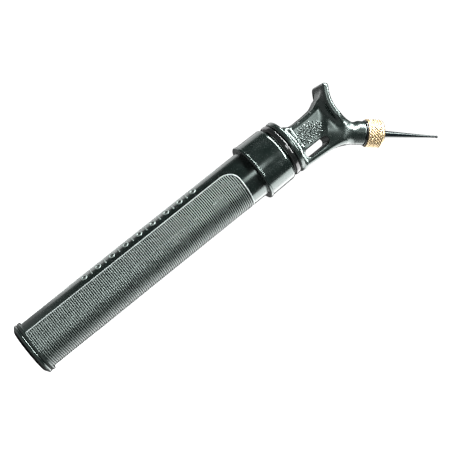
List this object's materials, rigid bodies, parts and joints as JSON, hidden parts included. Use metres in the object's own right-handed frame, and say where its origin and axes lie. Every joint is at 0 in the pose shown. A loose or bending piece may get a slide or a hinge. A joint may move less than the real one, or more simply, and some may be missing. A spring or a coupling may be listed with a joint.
{
  "type": "tire inflator",
  "caption": "Telescoping hand pump: ribbed grip sleeve slides over an inner cylinder, forked palm head, angled nozzle with knurled clamp nut and tapered needle.",
  "frame": {"origin": "on the barrel axis at the end cap's bottom face, which the pump stands on", "axes": "+Z along the barrel from the end cap to the head; +X towards the side the nozzle leans to; the head is symmetric about the XZ plane"},
  "size_m": [0.0765, 0.0384, 0.2852],
  "materials": {
    "grip_plastic": "moulded black, satin gloss, worn on the ribs",
    "cap_plastic": "moulded black, satin gloss",
    "collar_plastic": "moulded black, polished",
    "head_plastic": "moulded black, satin gloss with fine speckle",
    "cylinder_plastic": "smooth drawn black tube",
    "guide_plastic": "natural acetal",
    "piston_plastic": "natural nylon",
    "black_rubber": "soft, slightly dull",
    "seal_rubber": "nitrile, dull",
    "steel": "zinc-plated",
    "rod_steel": "drawn bar",
    "spring_steel": "drawn wire",
    "brass": "turned and knurled, bright",
    "seat_brass": "turned",
    "needle_plastic": "moulded black, glossy"
  },
  "bodies": {
    "handle": {"grip_sleeve": "grip_plastic", "end_cap": "cap_plastic", "cap_screw": "steel", "rod_washer": "steel", "piston_rod": "rod_steel", "piston": "piston_plastic", "piston_cup": "seal_rubber", "piston_washer": "steel", "piston_nut": "steel", "collar": "collar_plastic", "guide_bush": "guide_plastic", "wiper_seal": "seal_rubber"},
    "slider": {"wear_ring": "guide_plastic"},
    "barrel": {"cylinder": "cylinder_plastic", "rod_guide": "guide_plastic", "bumper_ring": "black_rubber", "head_body": "head_plastic", "spigot_seal": "seal_rubber", "valve_seat": "seat_brass", "valve_spring": "spring_steel", "neck_ring": "black_rubber"},
    "check_valve": {"valve_disc": "piston_plastic"},
    "clamp": {"thrust_washer": "seat_brass", "gasket": "seal_rubber"},
    "nut": {"knurled_nut": "brass"},
    "needle": {"needle_adaptor": "needle_plastic"}
  },
  "joints": [
    {"name": "pump_stroke", "type": "slide", "parent": "handle", "child": "slider", "axis": [0, 0, 1], "range_m": [0, 0.15]},
    {"name": "handle_swivel", "type": "hinge", "parent": "slider", "child": "barrel", "pos_m": [0, 0, 0.018], "axis": [0, 0, 1], "continuous": true},
    {"name": "valve_lift", "type": "slide", "parent": "barrel", "child": "check_valve", "axis": [0, 0, 1], "range_m": [0, 0.0012], "stiffness_N_per_m": 20, "springref_m": -0.002, "deforming": ["valve_spring"]},
    {"name": "clamp_slide", "type": "slide", "parent": "barrel", "child": "clamp", "axis": [0.6468, 0, 0.7627], "range_m": [0, 0.003]},
    {"name": "nut_turn", "type": "hinge", "parent": "clamp", "child": "nut", "pos_m": [0.02872, 0, 0.25166], "axis": [0.6468, 0, 0.7627], "range_deg": [0, 1080]},
    {"name": "needle_pull", "type": "slide", "parent": "barrel", "child": "needle", "axis": [0.6468, 0, 0.7627], "range_m": [0, 0.016]}
  ],
  "couplings": [
    {"joint": "nut_turn", "follows": "clamp_slide", "rad_per_m": 6283.2}
  ]
}
